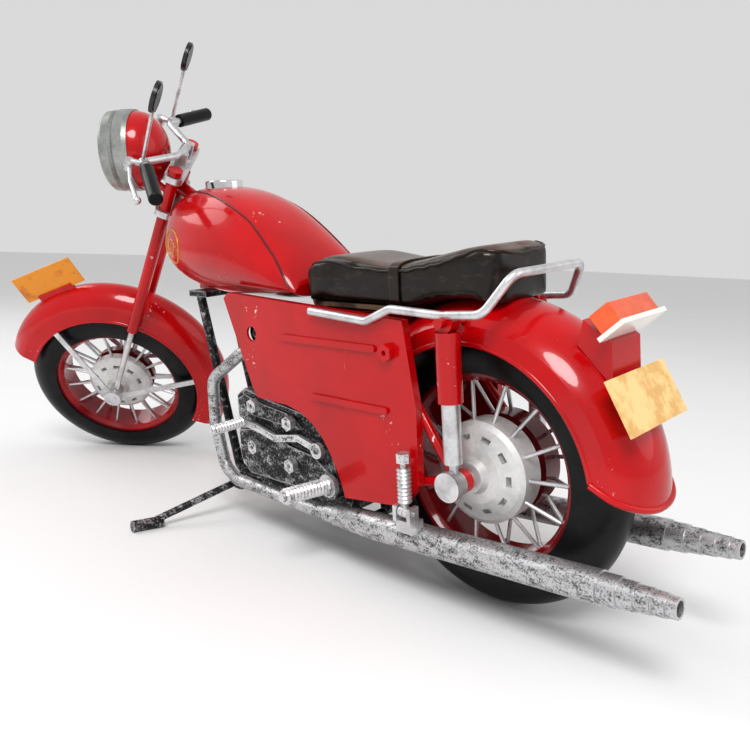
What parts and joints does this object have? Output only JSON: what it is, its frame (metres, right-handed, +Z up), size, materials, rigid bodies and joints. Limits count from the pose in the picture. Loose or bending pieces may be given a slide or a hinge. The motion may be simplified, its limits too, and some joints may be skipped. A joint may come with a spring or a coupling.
{
  "type": "toy motorcycle",
  "caption": "Handmade tin display motorcycle in a touring style on its side stand, with wire wheels, deep mudguards, a two-up seat, twin silencers and turned handlebars.",
  "frame": {"origin": "middle of the bounding box's underside, on the ground the tyres and the side-stand foot rest on", "axes": "+X forward along the machine, +Y to the rider's left (the side it leans to), +Z up"},
  "size_m": [0.364, 0.107, 0.2065],
  "materials": {
    "red_paint": "gloss",
    "dark_red_paint": "gloss",
    "red_rim_paint": "gloss",
    "silver_paint": "satin",
    "aged_metal": "worn",
    "chrome_cap": "polished",
    "seat_leather": "satin",
    "seat_board": "matte",
    "white_paint": "gloss",
    "orange_lens": "gloss",
    "clear_lens": "gloss",
    "yellow_plate": "worn",
    "amber_plate": "gloss",
    "tyre_rubber": "satin",
    "grip_rubber": "satin"
  },
  "bodies": {
    "frame": {"steering_head": "red_paint", "backbone": "red_paint", "lower_frame": "aged_metal", "seat_rails": "red_paint", "rear_fork": "red_paint", "engine_case": "aged_metal", "engine_cylinder": "aged_metal", "engine_covers": "aged_metal", "engine_nuts": "aged_metal", "rider_pegs": "aged_metal", "header_pipes": "aged_metal", "silencers": "aged_metal", "side_panel_left": "red_paint", "side_panel_right": "red_paint", "panel_nuts": "red_paint", "fuel_tank": "red_paint", "fuel_cap": "chrome_cap", "seat": "seat_leather", "seat_strap": "seat_leather", "seat_pan": "seat_board", "grab_rail": "silver_paint", "rear_mudguard": "red_paint", "rear_brackets": "red_paint", "tail_light_base": "white_paint", "tail_light_lens": "orange_lens", "rear_number_plate": "yellow_plate", "shock_tubes": "red_paint", "shock_rods": "silver_paint", "rear_axle": "silver_paint", "peg_clevises": "silver_paint"},
    "rear_wheel": {"rear_tyre": "tyre_rubber", "rear_rim": "red_rim_paint", "rear_spokes": "silver_paint", "rear_drum_left": "silver_paint", "rear_drum_right": "dark_red_paint"},
    "steering": {"fork_tubes": "red_paint", "fork_rods": "silver_paint", "lower_yoke": "silver_paint", "upper_yoke": "silver_paint", "handlebar": "silver_paint", "grips": "grip_rubber", "mirrors": "silver_paint", "headlight_shell": "red_paint", "headlight_rim": "silver_paint", "headlight_lens": "clear_lens", "front_mudguard": "red_paint", "mudguard_stays": "silver_paint", "front_number_plate": "amber_plate", "front_axle": "silver_paint"},
    "front_wheel": {"front_tyre": "tyre_rubber", "front_rim": "red_rim_paint", "front_spokes": "silver_paint", "front_drum_left": "silver_paint", "front_drum_right": "dark_red_paint"},
    "gear_lever": {"gear_lever": "aged_metal"},
    "side_stand": {"side_stand": "aged_metal"},
    "peg_left": {"passenger_peg_left": "aged_metal"},
    "peg_right": {"passenger_peg_right": "aged_metal"},
    "lever_left": {"hand_lever_left": "silver_paint"},
    "lever_right": {"hand_lever_right": "silver_paint"}
  },
  "joints": [
    {"name": "steering", "type": "hinge", "parent": "frame", "child": "steering", "pos_m": [0.06972, 0.00393, 0.14513], "axis": [-0.5731, 0.0846, 0.8151], "range_deg": [-92, 0]},
    {"name": "rear_wheel", "type": "hinge", "parent": "frame", "child": "rear_wheel", "pos_m": [-0.10959, -0.00664, 0.04779], "axis": [-0.0019, 0.9945, -0.1045], "continuous": true},
    {"name": "front_wheel", "type": "hinge", "parent": "steering", "child": "front_wheel", "pos_m": [0.14136, -0.00664, 0.04324], "axis": [-0.5908, 0.6467, -0.4825], "continuous": true},
    {"name": "gear_lever", "type": "hinge", "parent": "frame", "child": "gear_lever", "pos_m": [-0.04468, 0.01608, 0.04272], "axis": [-0.0019, 0.9945, -0.1045], "range_deg": [-5, 5]},
    {"name": "side_stand", "type": "hinge", "parent": "frame", "child": "side_stand", "pos_m": [0.01783, 0.00482, 0.01481], "axis": [0.018, 0.1045, 0.9944], "range_deg": [0, 80]},
    {"name": "peg_left", "type": "hinge", "parent": "frame", "child": "peg_left", "pos_m": [-0.09168, 0.01929, 0.03207], "axis": [-0.9998, 0, 0.0181], "range_deg": [0, 90]},
    {"name": "peg_right", "type": "hinge", "parent": "frame", "child": "peg_right", "pos_m": [-0.09157, -0.03521, 0.0378], "axis": [0.9998, 0, -0.0181], "range_deg": [0, 90]},
    {"name": "lever_left", "type": "hinge", "parent": "steering", "child": "lever_left", "pos_m": [0.05722, 0.03492, 0.14893], "axis": [-0.6163, 0.0243, 0.7872], "range_deg": [-12, 0]},
    {"name": "lever_right", "type": "hinge", "parent": "steering", "child": "lever_right", "pos_m": [0.08746, 0.00181, 0.17363], "axis": [-0.6163, 0.0243, 0.7872], "range_deg": [0, 12]}
  ]
}
